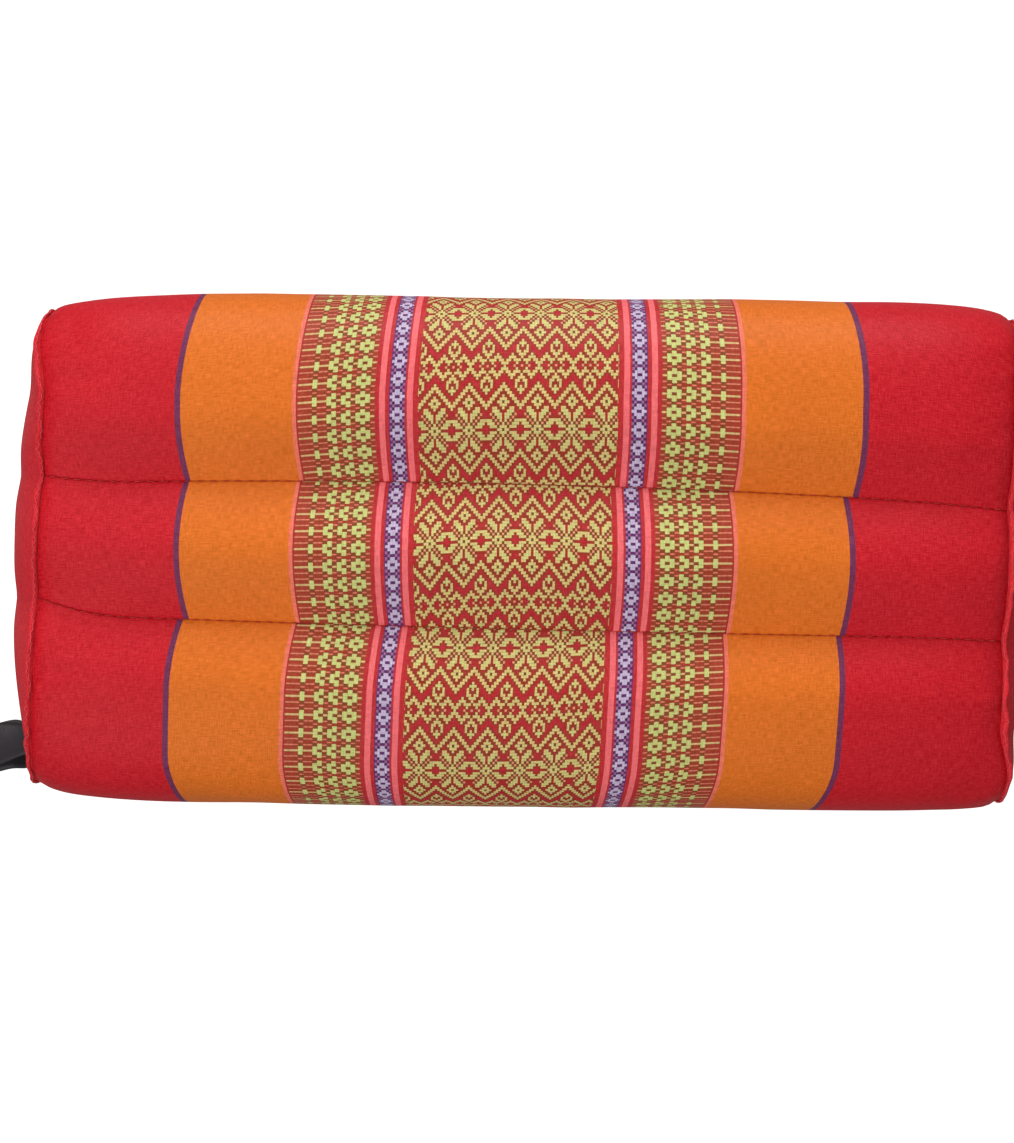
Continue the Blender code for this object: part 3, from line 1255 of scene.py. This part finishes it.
    def _jog(self, along: float, y: float) -> float:
        """How far this channel's cloth was sewn out of true along X.

        Args:
            along: Share of the half length, from -1 at the -X end to 1.
            y: Metres across from the middle.

        Returns:
            Metres along X.
        """
        front, back = self.form.lines(along)
        if self.channel is Channel.MIDDLE:
            return self.middle_jog - self.middle_jog_lean * (y - (front + back) / 2.0)
        far, more, reach = self.JOGS[self.channel]
        gap = y - back if self.channel is Channel.BACK else front - y
        return far + more * near(gap, reach)

    def _bow(self, u: float) -> float:
        """How far this channel's weft bends along the warp at a distance from the cloth's centre line.

        Args:
            u: Metres from the cloth's centre line.

        Returns:
            Metres along the warp.
        """
        if self.channel is Channel.MIDDLE:
            return self.middle_bow * (1.0 - math.exp(-((u / self.middle_bow_reach) ** 2)))
        bow = self.weft_bow * u * u
        if self.channel is Channel.FRONT:
            bow -= self.front_unbow * u * u / (1.0 + (u / self.front_unbow_reach) ** 2)
        return bow

    def _cloth_point(self, along: float, cross: float, up: float, point: Vector) -> tuple[float, float]:
        """Where a point of the cover lies on the flat cloth.

        Args:
            along: Share of the half length.
            cross: Share across the block.
            up: Share up the block.
            point: The point itself.

        Returns:
            Metres from the cloth's centre line, and along the warp from a row of stars.
        """
        run = point.x - self.cloth_offset - self.cloth_lean * point.y - self._jog(along, point.y)
        distance = self.form.line_distance(along, point.y)
        held = max(0.0, 1.0 - distance / (self.form.back_line - self.form.front_line) * 2.0) ** 2
        taper = 1.0 - self.end_slack * abs(along) ** 4
        pull = self.cloth_pull if run < 0.0 else self.right_cloth_pull
        edge_from = self.back_edge_from if point.y > 0.0 else self.front_edge_from
        edge = max(0.0, abs(point.y) - edge_from) / (self.form.width / 2.0 - edge_from)
        u = run * (self.cloth_stretch + pull * held * taper + self.edge_pull * edge * edge)
        u *= 1.0 + self.cloth_narrowing * point.y
        u += run * run * run * self.FAR_PULLS[self.channel][int(run > 0.0)]
        outer = max(0.0, abs(cross) - self.form.line_share) / (1.0 - self.form.line_share)
        tilt = self.weft_tilt + self.weft_turn * outer
        v = self.girth.at(along, cross, up) - self.star_row_at - tilt * u + self._bow(u)
        return u, v

    def _strip(self, face: bmesh.types.BMFace) -> Strip:
        """Tell which side of the unit box a face lies on.

        Args:
            face: A face of the cage, before its points are moved.

        Returns:
            The side.
        """
        middle = face.calc_center_median()
        if abs(middle.x) > ON_EDGE:
            return Strip.END
        if abs(middle.z) > ON_EDGE:
            return Strip.TOP if middle.z > 0.0 else Strip.UNDER
        outer = 1 if self.channel is Channel.MIDDLE else self.channel.value
        return Strip.SIDE if middle.y * outer > 0.0 else Strip.WALL

    def _bake_point(self, strip: Strip, share: Vector, u: float) -> tuple[float, float]:
        """Place a point on the sheet that the finish is baked to, with most room for figured bands.

        Args:
            strip: Side of the unit box.
            share: The point's place on that box.
            u: Metres from the cloth's centre line.

        Returns:
            Shares across and up the sheet.
        """
        if strip is Strip.END:
            start = self.END_ROWS[int(share.x > 0.0)]
            return 0.1 + 0.4 * (share.y + 1.0), start + self.end_row_height * (share.z + 1.0) / 2.0
        away = self.figured_share * abs(u) / self.figured_reach
        if abs(u) >= self.figured_reach:
            spare = (abs(u) - self.figured_reach) / (self.form.length / 2.0 - self.figured_reach)
            away = self.figured_share + (self.bake_half - self.figured_share) * spare
        rows = self.MIDDLE_ROWS if self.channel is Channel.MIDDLE else self.OUTER_ROWS
        start, height = rows[strip]
        run = share.y if strip in (Strip.TOP, Strip.UNDER) else share.z
        return 0.5 + math.copysign(away, u), start + height * (run + 1.0) / 2.0

    def build(self) -> bmesh.types.BMesh:
        """Shape the channel and lay the cloth and bake maps on it.

        Returns:
            The closed shape.
        """
        cage = self._cage()
        cloth_map = cage.loops.layers.uv.new(CLOTH_MAP)
        bake_map = cage.loops.layers.uv.new(BAKE_MAP)
        shares = {vertex: vertex.co.copy() for vertex in cage.verts}
        points = {}
        cloth = {}
        for vertex, share in shares.items():
            cross = self._cross(share.y)
            points[vertex] = self.form.place(share.x, cross, share.z, self.set_back)
            cloth[vertex] = self._cloth_point(share.x, cross, share.z, points[vertex])
        for face in cage.faces:
            strip = self._strip(face)
            for loop in face.loops:
                loop[cloth_map].uv = cloth[loop.vert]
                loop[bake_map].uv = self._bake_point(strip, shares[loop.vert], cloth[loop.vert][0])
        for vertex, point in points.items():
            vertex.co = point
        self._soften(cage, shares)
        return cage

    def _dent(self, point: Vector) -> float:
        """Depth of the soft dents that the cover has near its corners.

        Args:
            point: A point of the top.

        Returns:
            The depth in metres.
        """
        depth = 0.0
        for x, y, long, wide, deep in self.DENTS:
            depth += deep * math.exp(-(((point.x - x) / long) ** 2) - ((point.y - y) / wide) ** 2)
        return depth

    def _pucker(self, point: Vector, size: Sequence[float]) -> float:
        """Noise from -1 to 1 whose waves have that size along each axis."""
        return noise.noise(Vector([place / run for place, run in zip(point, size)]))

    def _lift(self, share: Vector, point: Vector) -> float:
        """How far stuffing and sewing push a point of the cover out: slow swells, puckers and dents.

        Args:
            share: The point's place on the unit box.
            point: The point itself.

        Returns:
            The distance, below zero where the cover sinks.
        """
        gap = self.form.line_distance(share.x, point.y)
        end_gap = (1.0 - abs(share.x)) * self.form.length / 2.0
        calm = clear_of(gap, self.still_line) * clear_of(end_gap, self.still_end)
        calm *= clear_of(point.z, self.still_floor)
        swell = ripple(point, self.swell_size, self.SWELL_SHIFT)
        swell += self.fine_swell_share * ripple(point, self.fine_swell_size)
        by_line = near(gap, self.line_pucker_reach) * clear_of(gap, self.line_pucker_from)
        by_end = near(end_gap, self.end_pucker_reach) * clear_of(end_gap, self.end_pucker_from)
        pucker = by_line * self._pucker(point, self.LINE_PUCKER_SIZE)
        pucker += self.end_pucker_share * by_end * self._pucker(point, self.END_PUCKER_SIZE)
        lift = self.pucker_depth * pucker * clear_of(point.z, self.floor_pucker_from)
        lift += self.swell_depth * swell * calm
        if point.z > self.form.middle:
            lift -= self._dent(point) * clear_of(end_gap, self.end_pucker_from)
        return lift

    def _is_wall(self, share: Vector) -> bool:
        """Whether a place on the unit box lies on a wall between two channels.

        Args:
            share: The place on the unit box.

        Returns:
            True on a wall.
        """
        if abs(share.y) <= ON_EDGE:
            return False
        return self.channel is Channel.MIDDLE or share.y * self.channel.value < 0.0

    def _soften(self, cage: bmesh.types.BMesh, shares: dict[bmesh.types.BMVert, Vector]) -> None:
        """Move the points as stuffing and sewing do, and keep neighbouring walls just apart.

        Args:
            cage: The shaped channel.
            shares: Each point's place on the unit box.
        """
        cage.normal_update()
        moves = {vertex: vertex.normal * self._lift(share, vertex.co) for vertex, share in shares.items()}
        for vertex, share in shares.items():
            if self._is_wall(share):
                vertex.co.y -= math.copysign(self.wall_gap, share.y)
            elif abs(share.x) < ON_EDGE:
                vertex.co += moves[vertex]
            vertex.co.z = max(0.0, vertex.co.z)

    def dress(self, material: bpy.types.Material) -> bpy.types.Object:
        """Build the channel as a finished piece.

        Args:
            material: Its finish.

        Returns:
            The piece.
        """
        piece = add_piece(self.build(), f"{self.channel.name.lower()}_channel", material)
        settle(piece, "striped_cotton", "body")
        return piece


@dataclass
class EndPanel:
    """One end panel: a crowned sheet of red cotton, sewn in all round."""

    form: CushionForm
    end: End
    steps: tuple[int, int] = (72, 48)
    thickness: float = 0.0008
    valley: float = 0.0007
    valley_reach: float = 0.14
    pucker: float = 0.00035
    pucker_size: float = 0.008
    pucker_from: float = 0.03
    pucker_reach: float = 0.22
    valley_from: float = 0.05
    swell: float = 0.0007
    swell_size: float = 0.045
    swell_from: float = 0.2

    def _place(self, first: float, second: float) -> Vector:
        """Point of the panel's outer face.

        Args:
            first: Share across, from 0 to 1.
            second: Share up, from 0 to 1.

        Returns:
            The point, with the panel's puckers and valleys.
        """
        cross = 2.0 * first - 1.0
        up = 2.0 * second - 1.0
        side = self.end.value
        point = self.form.place(side, cross, up)
        inside = 1.0 - max(abs(cross), abs(up))
        beside = abs(abs(cross) - self.form.line_share)
        valley = self.valley * near(beside, self.valley_reach) ** 2 * abs(up)
        by_rim = near(inside, self.pucker_reach) * clear_of(inside, self.pucker_from)
        grain = Vector((side, point.y / self.pucker_size, point.z / self.pucker_size))
        folds = self.pucker * by_rim * noise.noise(grain)
        swell = self.swell * clear_of(inside, self.swell_from) * ripple(point, self.swell_size)
        point.x += side * (folds + swell - valley * clear_of(inside, self.valley_from))
        return point

    def dress(self, material: bpy.types.Material) -> bpy.types.Object:
        """Build the panel as a finished piece.

        Args:
            material: Its finish.

        Returns:
            The piece.
        """
        shape = shaped_grid(self.steps, self._place, closed=False)
        if self.end is End.LEFT:
            bmesh.ops.reverse_faces(shape, faces=shape.faces)
        piece = add_piece(shape, f"{self.end.word}_panel_cloth", material)
        add_wall(piece, self.thickness, -1.0)
        settle(piece, "red_cotton", f"end_panel_{self.end.word}")
        half_width, half_height = self.form.half_sizes(self.end.value)
        return piece


@dataclass
class SeamEdge:
    """The turned-out edge of one end seam, where cover and panel are held together."""

    form: CushionForm
    end: End
    spacing: float = 0.0013
    height: float = 0.0021
    height_change: float = 0.35
    depth_share: float = 0.15
    thickness: float = 0.0013
    sides: int = 10
    lean_degrees: float = 42.0
    wander: float = 0.75
    sway: float = 0.0005
    side_fall: float = 0.55
    side_fall_from: float = 0.80
    side_fall_reach: float = 0.14
    thread_radius: float = 0.00010
    thread_sides: int = 6
    thread_swing: float = 0.66
    thread_turn: float = 0.20
    thread_wander: float = 0.50
    thread_waves: float = 0.004
    thread_sink: float = 0.00002

    # size and shift of the waves by which the edge leans, rises and sways
    LEAN_WAVES = (0.0055, (0.3, 0.1, 0.7))
    HEIGHT_WAVES = (0.007, (0.9, 0.4, 0.2))
    SWAY_WAVES = (0.008, (0.2, 0.8, 0.5))

    @property
    def name(self) -> str:
        """The edge's name as a piece."""
        return f"{self.end.word}_seam_edge"

    def _frames(self) -> list[tuple[Vector, Vector, Vector, float]]:
        """Work out how the edge stands, all the way round.

        Returns:
            For each point of the rim its foot, the way the edge leans, its thickness direction and
            height.
        """
        frames = []
        ahead = Vector((self.end.value, 0.0, 0.0))
        half_width = self.form.half_sizes(self.end.value)[0]
        for point in self.form.rim(self.end.value, self.spacing):
            out = self.form.outwards(point)
            angle = math.radians(self.lean_degrees)
            angle += self.wander * ripple(point, *self.LEAN_WAVES)
            lean = out * math.cos(angle) + ahead * math.sin(angle)
            across = ahead * math.cos(angle) - out * math.sin(angle)
            height = self.height * (1.0 + self.height_change * ripple(point, *self.HEIGHT_WAVES))
            past = abs(point.y) / half_width - self.side_fall_from
            height *= 1.0 - self.side_fall * smooth_step(past / self.side_fall_reach)
            foot = point + ahead * (self.sway * ripple(point, *self.SWAY_WAVES))
            frames.append((foot, lean, across, height))
        return frames

    def dress(self, material: bpy.types.Material) -> bpy.types.Object:
        """Build the edge as a finished piece.

        Args:
            material: Its finish.

        Returns:
            The piece.
        """
        frames = self._frames()

        def place(first: float, second: float) -> Vector:
            """Point of the edge for shares round the seam and round its section.

            Args:
                first: Share of the way round the seam.
                second: Share of the way round the edge's section.

            Returns:
                The point.
            """
            foot, lean, across, height = frames[round(first * len(frames)) % len(frames)]
            turn = 2.0 * math.pi * second
            up = 0.5 - 0.5 * math.cos(turn)
            rise = height * ((1.0 + self.depth_share) * up - self.depth_share)
            point = foot + lean * rise + across * (self.thickness / 2.0 * math.sin(turn))
            point.z = max(0.0, point.z)
            return point

        shape = shaped_grid((len(frames), self.sides), place, closed=True)
        piece = add_piece(shape, self.name, material)
        settle(piece, "red_cotton")
        return piece

    def thread(self, material: bpy.types.Material) -> bpy.types.Object:
        """Run a fine thread to and fro along the side of the edge that shows from above.

        Args:
            material: Its finish.

        Returns:
            The piece.
        """
        frames = self._frames()
        count = len(frames)

        def turn(step: int) -> Vector:
            """Point where the thread turns back.

            Args:
                step: Number of the turn.

            Returns:
                The point.
            """
            foot, lean, across, height = frames[step % count]
            swing = self.thread_swing + self.thread_wander * ripple(foot, self.thread_waves)
            swing += self.thread_turn if step % count % 2 else -self.thread_turn
            return foot + lean * (height * swing) - across * (self.thickness / 2.0 - self.thread_sink)

        def place(first: float, second: float) -> Vector:
            """Point of the thread for shares along it and round it.

            Args:
                first: Share of the way round the seam.
                second: Share of the way round the thread.

            Returns:
                The point.
            """
            step = round(first * count)
            ahead = (turn(step + 1) - turn(step - 1)).normalized()
            out = -frames[step % count][2]
            spin = 2.0 * math.pi * second
            radial = out * math.cos(spin) + ahead.cross(out) * math.sin(spin)
            point = turn(step) + radial * self.thread_radius
            point.z = max(0.0, point.z)
            return point

        shape = shaped_grid((count, self.thread_sides), place, closed=True)
        piece = add_piece(shape, f"{self.name}_thread", material)
        settle(piece, "red_cotton")
        return piece


class Level(Enum):
    """The two faces of the cushion that show a line's stitches, by their sign along Z."""

    TOP = 1.0
    UNDER = -1.0


@dataclass
class ChannelStitches:
    """Stitches of the line at the front or the back channel, above or below the cushion."""

    form: CushionForm
    line: Channel
    level: Level
    pitch: float = 0.0042
    stitch_share: float = 0.72
    thread: float = 0.00016
    thin_share: float = 0.35
    arch: float = 0.00055
    sink: float = 0.00015
    steps: tuple[int, int] = (6, 6)

    def dress(self, material: bpy.types.Material) -> bpy.types.Object:
        """Build the line's stitches as one joined piece.

        Args:
            material: Its finish.

        Returns:
            The piece.
        """
        count = int(self.form.length / self.pitch) - 1
        stitches = bmesh.new()
        share = self.form.line_share * self.line.value
        half = self.pitch * self.stitch_share / self.form.length
        up = self.level.value
        for index in range(count):
            along = 2.0 * (index + 1) / (count + 1) - 1.0

            def place(first: float, second: float) -> Vector:
                """Point of the stitch for shares along the thread and round it.

                Args:
                    first: Share of the way along the stitch.
                    second: Share of the way round the thread.

                Returns:
                    The point.
                """
                here = self.form.place(along + (2.0 * first - 1.0) * half, share, up)
                arch = math.sin(math.pi * first)
                here.z += up * (self.arch * arch - self.sink)
                spin = 2.0 * math.pi * second
                radius = self.thread * (self.thin_share + (1.0 - self.thin_share) * arch ** 0.5)
                return here + Vector((0.0, math.cos(spin), math.sin(spin))) * radius

            stitch = shaped_grid(self.steps, place, closed=False)
            scratch = bpy.data.meshes.new("stitch")
            stitch.to_mesh(scratch)
            stitch.free()
            stitches.from_mesh(scratch)
            bpy.data.meshes.remove(scratch)
        rims = [edge for edge in stitches.edges if edge.is_boundary]
        bmesh.ops.holes_fill(stitches, edges=rims, sides=self.steps[1] + 2)
        bmesh.ops.recalc_face_normals(stitches, faces=stitches.faces)
        for vertex in stitches.verts:
            vertex.co.z = max(0.0, vertex.co.z)
        name = f"{self.line.name}_line_{self.level.name}".lower()
        piece = add_piece(stitches, name, material)
        settle(piece, "striped_cotton")
        return piece


@dataclass
class FoldedRibbon:
    """Ribbon sewn into the low front corner of the -X end, folded back under itself."""

    width: float = 0.0180
    thickness: float = 0.00045
    steps: tuple[int, int] = (64, 10)
    root: tuple[float, float, float] = (-0.1703, -0.0725, 0.0)
    smoothings: int = 6
    sag: float = 0.0004
    sag_turns: float = 160.0
    lowest: float = 0.0005

    FOLD = (
        # out from the seam, towards the front, height of the back edge, of the front edge
        (-0.0022, -0.0030, 0.0078, 0.0178),
        (0.0085, -0.0022, 0.0036, 0.0192),
        (0.0180, -0.0005, 0.0038, 0.0150),
        (0.0300, 0.0030, 0.0046, 0.0078),
        (0.0345, 0.0038, 0.0046, 0.0054),
        (0.0362, 0.0042, 0.0030, 0.0032),
        (0.0345, 0.0044, 0.0014, 0.0014),
        (0.0290, 0.0040, 0.0009, 0.0009),
        (0.0150, 0.0000, 0.0009, 0.0028),
        (0.0080, 0.0012, 0.0010, 0.0124),
        (-0.0016, -0.0025, 0.0052, 0.0150),
    )

    def _edges(self) -> np.ndarray:
        """Even stations along the strip: out, forward, back height, front height and run.

        Returns:
            A row of five numbers for each station.
        """
        table = np.array(self.FOLD)
        steps = np.linalg.norm(np.diff(table, axis=0), axis=1)
        runs = np.concatenate(([0.0], np.cumsum(steps)))
        wanted = np.linspace(0.0, runs[-1], self.steps[0] + 1)
        smooth = np.stack([np.interp(wanted, runs, table[:, k]) for k in range(4)] + [wanted], axis=1)
        for _ in range(self.smoothings):
            smooth[1:-1, :4] = (smooth[:-2, :4] + 2.0 * smooth[1:-1, :4] + smooth[2:, :4]) / 4.0
        return smooth

    def dress(self, material: bpy.types.Material) -> bpy.types.Object:
        """Build the ribbon as a finished piece.

        Args:
            material: Its finish.

        Returns:
            The piece.
        """
        stations = self._edges()
        root = Vector(self.root)

        def place(first: float, second: float) -> Vector:
            """Point of the strip for shares along and across it.

            Args:
                first: Share of the way along the strip.
                second: Share of the way across it.

            Returns:
                The point.
            """
            out, forward, back_height, front_height, run = stations[round(first * self.steps[0])]
            height = back_height + (front_height - back_height) * second
            sag = self.sag * math.sin(math.pi * second) * math.sin(run * self.sag_turns)
            y = math.sqrt(self.width ** 2 - (front_height - back_height) ** 2) * (0.5 - second)
            return root + Vector((-out, y - forward, max(self.lowest, height + sag)))

        shape = shaped_grid(self.steps, place, closed=False)
        cloth_map = shape.loops.layers.uv.new(CLOTH_MAP)
        bmesh.ops.recalc_face_normals(shape, faces=shape.faces)
        for face in shape.faces:
            for loop in face.loops:
                loop[cloth_map].uv = (root.x - loop.vert.co.x, loop.vert.co.y)
        piece = add_piece(shape, "folded_ribbon", material)
        add_wall(piece, self.thickness, 0.0)
        settle(piece, "black_ribbon", "ribbon_tab")
        return piece


@dataclass
class Studio:
    """Pale floor, soft light and the camera above the patterned face."""

    form: CushionForm
    target: tuple[float, float, float] = (-0.0054, -0.0066, 0.118)
    distance: float = 1.355
    tilt: float = 0.45
    roll: float = 0.66
    lens: float = 126.3
    sensor: float = 36.0
    nearest: float = 0.01
    floor_half: float = 3.0
    floor_glow: float = 0.85
    world_strength: float = 0.42

    # the floor's tone where it throws light on the cushion, and where it is seen
    FLOOR_TONES = ((0.18, 0.18, 0.18, 1.0), (0.50, 0.50, 0.50, 1.0))
    LAMPS = (
        # name, place, side of its square in metres, watts
        ("low", (0.0, 1.75, 0.50), 0.8, 21.0),
        ("overhead", (-0.8, 0.7, 1.8), 1.2, 9.3),
        ("fill", (-0.7, -1.1, 1.5), 1.2, 13.0),
    )

    def floor(self) -> None:
        """A wide pale floor under the cushion."""
        graph = Graph("Pale floor")
        seen = graph.node("ShaderNodeLightPath", {}).outputs["Is Camera Ray"]
        graph.shader.inputs["Emission Color"].default_value = WHITE
        glow = graph.math("MULTIPLY", seen, self.floor_glow)
        graph.links.new(glow, graph.shader.inputs["Emission Strength"])
        tone = graph.mix(seen, *self.FLOOR_TONES)
        material = graph.finish(tone, roughness=0.9, sheen=0.0, specular=0.0)
        shape = bmesh.new()
        bmesh.ops.create_grid(shape, x_segments=1, y_segments=1, size=self.floor_half)
        floor = add_piece(shape, "floor", material)

    def camera(self) -> None:
        """Look down at the cushion as the photograph does."""
        data = bpy.data.cameras.new("camera")
        data.sensor_fit = "VERTICAL"
        data.sensor_height = self.sensor
        data.lens = self.lens
        data.clip_start = self.nearest
        camera = bpy.data.objects.new("camera", data)
        tilt = math.radians(self.tilt)
        back = Vector((0.0, math.sin(tilt), math.cos(tilt)))
        right = Vector((1.0, 0.0, 0.0))
        view = Matrix((right, back.cross(right), back)).transposed().to_4x4()
        offset = back * self.distance
        turn = Matrix.Rotation(math.radians(self.roll), 4, "Z")
        camera.matrix_world = Matrix.Translation(Vector(self.target) + offset) @ view @ turn
        bpy.context.scene.collection.objects.link(camera)
        bpy.context.scene.camera = camera

    def lamp(self, name: str, place: Vector, size: float, power: float) -> None:
        """One square softbox that faces the cushion.

        Args:
            name: Name of the lamp.
            place: Its middle.
            size: Side of its square in metres.
            power: Its power in watts.
        """
        data = bpy.data.lights.new(name, "AREA")
        data.size = size
        data.energy = power
        light = bpy.data.objects.new(name, data)
        aim = place - Vector((0.0, 0.0, self.form.height / 2.0))
        light.matrix_world = Matrix.Translation(place) @ aim.to_track_quat("Z", "Y").to_matrix().to_4x4()
        bpy.context.scene.collection.objects.link(light)

    def build(self) -> None:
        """Set up the whole studio."""
        self.floor()
        self.camera()
        world = bpy.data.worlds.new("studio")
        world.use_nodes = True
        background = world.node_tree.nodes["Background"]
        background.inputs["Color"].default_value = WHITE
        background.inputs["Strength"].default_value = self.world_strength
        bpy.context.scene.world = world
        for name, place, size, power in self.LAMPS:
            self.lamp(name, Vector(place), size, power)
        bpy.context.scene.view_settings.view_transform = "Standard"


def main() -> None:
    """Build and dress every piece."""
    logging.basicConfig(level=logging.INFO)
    figured = FiguredCotton().material()
    plain = PlainCotton().material()
    ribbon = SatinRibbon().material()
    edge_thread = SewingThread("Rose thread", (228, 96, 104)).material()
    line_thread = SewingThread("Rust thread", (196, 54, 42)).material()
    girth = Girth(FORM)
    for channel in Channel:
        report(StuffedChannel(FORM, girth, channel).dress(figured))
    for end in End:
        report(EndPanel(FORM, end).dress(plain))
        edge = SeamEdge(FORM, end)
        report(edge.dress(plain))
        report(edge.thread(edge_thread))
    for line in (Channel.BACK, Channel.FRONT):
        for level in Level:
            report(ChannelStitches(FORM, line, level).dress(line_thread))
    report(FoldedRibbon().dress(ribbon))
    Studio(FORM).build()


if __name__ == "__main__":
    main()
